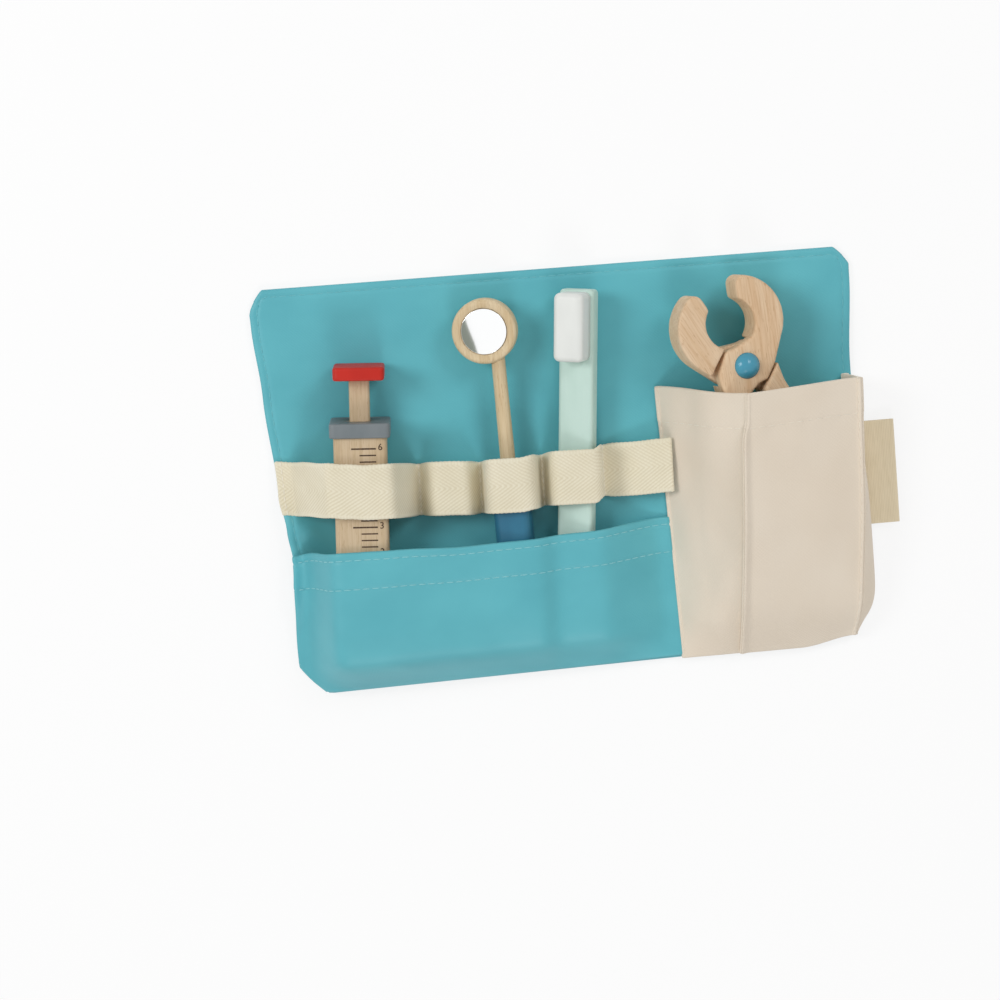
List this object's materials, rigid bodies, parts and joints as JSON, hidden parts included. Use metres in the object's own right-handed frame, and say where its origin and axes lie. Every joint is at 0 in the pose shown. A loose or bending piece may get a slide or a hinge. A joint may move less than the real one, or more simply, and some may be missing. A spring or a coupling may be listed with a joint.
{
  "type": "toy dentist set",
  "caption": "Flat sewn tool case lying open, with a toy syringe, mouth mirror, toothbrush and pliers held by a webbing loop strip and two sewn pockets.",
  "frame": {"origin": "middle of the tool case's flat back face, on the surface it lies on", "axes": "+Z out of the front of the case, away from the table; +Y to the case's top edge, where the tool heads point; +X to its right edge, where the tag is"},
  "size_m": [0.2247, 0.145, 0.0305],
  "materials": {
    "teal_canvas": "coated canvas",
    "cotton_webbing": "herringbone cotton tape",
    "natural_canvas": "plain canvas",
    "tag_ribbon": "woven ribbon",
    "pale_wood": "sanded",
    "warm_wood": "sanded",
    "grey_paint": "satin paint",
    "red_paint": "satin paint",
    "blue_paint": "satin paint",
    "mint_paint": "satin paint",
    "white_paint": "satin paint",
    "mirror_film": "polished"
  },
  "bodies": {
    "case": {"outer_panel": "teal_canvas", "lining_panel": "teal_canvas", "front_pocket": "teal_canvas", "loop_tape": "cotton_webbing", "box_pocket_left_gusset": "natural_canvas", "box_pocket_front": "natural_canvas", "box_pocket_right_gusset": "natural_canvas", "side_tag": "tag_ribbon"},
    "syringe": {"syringe_barrel": "pale_wood", "syringe_collar": "grey_paint", "syringe_nozzle": "grey_paint"},
    "plunger": {"plunger_rod": "pale_wood", "plunger_button": "red_paint", "plunger_piston": "pale_wood"},
    "mirror": {"mirror_ring": "pale_wood", "mirror_glass": "mirror_film", "mirror_rod": "pale_wood", "mirror_grip": "blue_paint"},
    "toothbrush": {"brush_handle": "mint_paint", "brush_bristle_block": "white_paint"},
    "pliers_front": {"pliers_front_arm": "warm_wood", "pliers_pivot_pin": "pale_wood", "pliers_front_cap": "blue_paint", "pliers_back_cap": "blue_paint"},
    "pliers_back": {"pliers_back_arm": "warm_wood"}
  },
  "joints": [
    {"name": "syringe_lift_out", "type": "slide", "parent": "case", "child": "syringe", "axis": [0.0697, 0.9975, 0.014], "range_m": [0, 0.15]},
    {"name": "plunger_slide", "type": "slide", "parent": "syringe", "child": "plunger", "axis": [0.0697, 0.9975, 0.014], "range_m": [-0.0145, 0.045]},
    {"name": "mirror_lift_out", "type": "slide", "parent": "case", "child": "mirror", "axis": [-0.0105, 0.9997, 0.0209], "range_m": [0, 0.15]},
    {"name": "toothbrush_lift_out", "type": "slide", "parent": "case", "child": "toothbrush", "axis": [0.0906, 0.9955, 0.0262], "range_m": [0, 0.15]},
    {"name": "pliers_lift_out", "type": "slide", "parent": "case", "child": "pliers_front", "axis": [0, 0.9986, 0.0523], "range_m": [0, 0.15]},
    {"name": "pliers_pivot", "type": "hinge", "parent": "pliers_front", "child": "pliers_back", "pos_m": [0.0645, 0.0334, 0.01599], "axis": [0.2138, 0.0118, 0.9768], "range_deg": [-26, 2]}
  ]
}
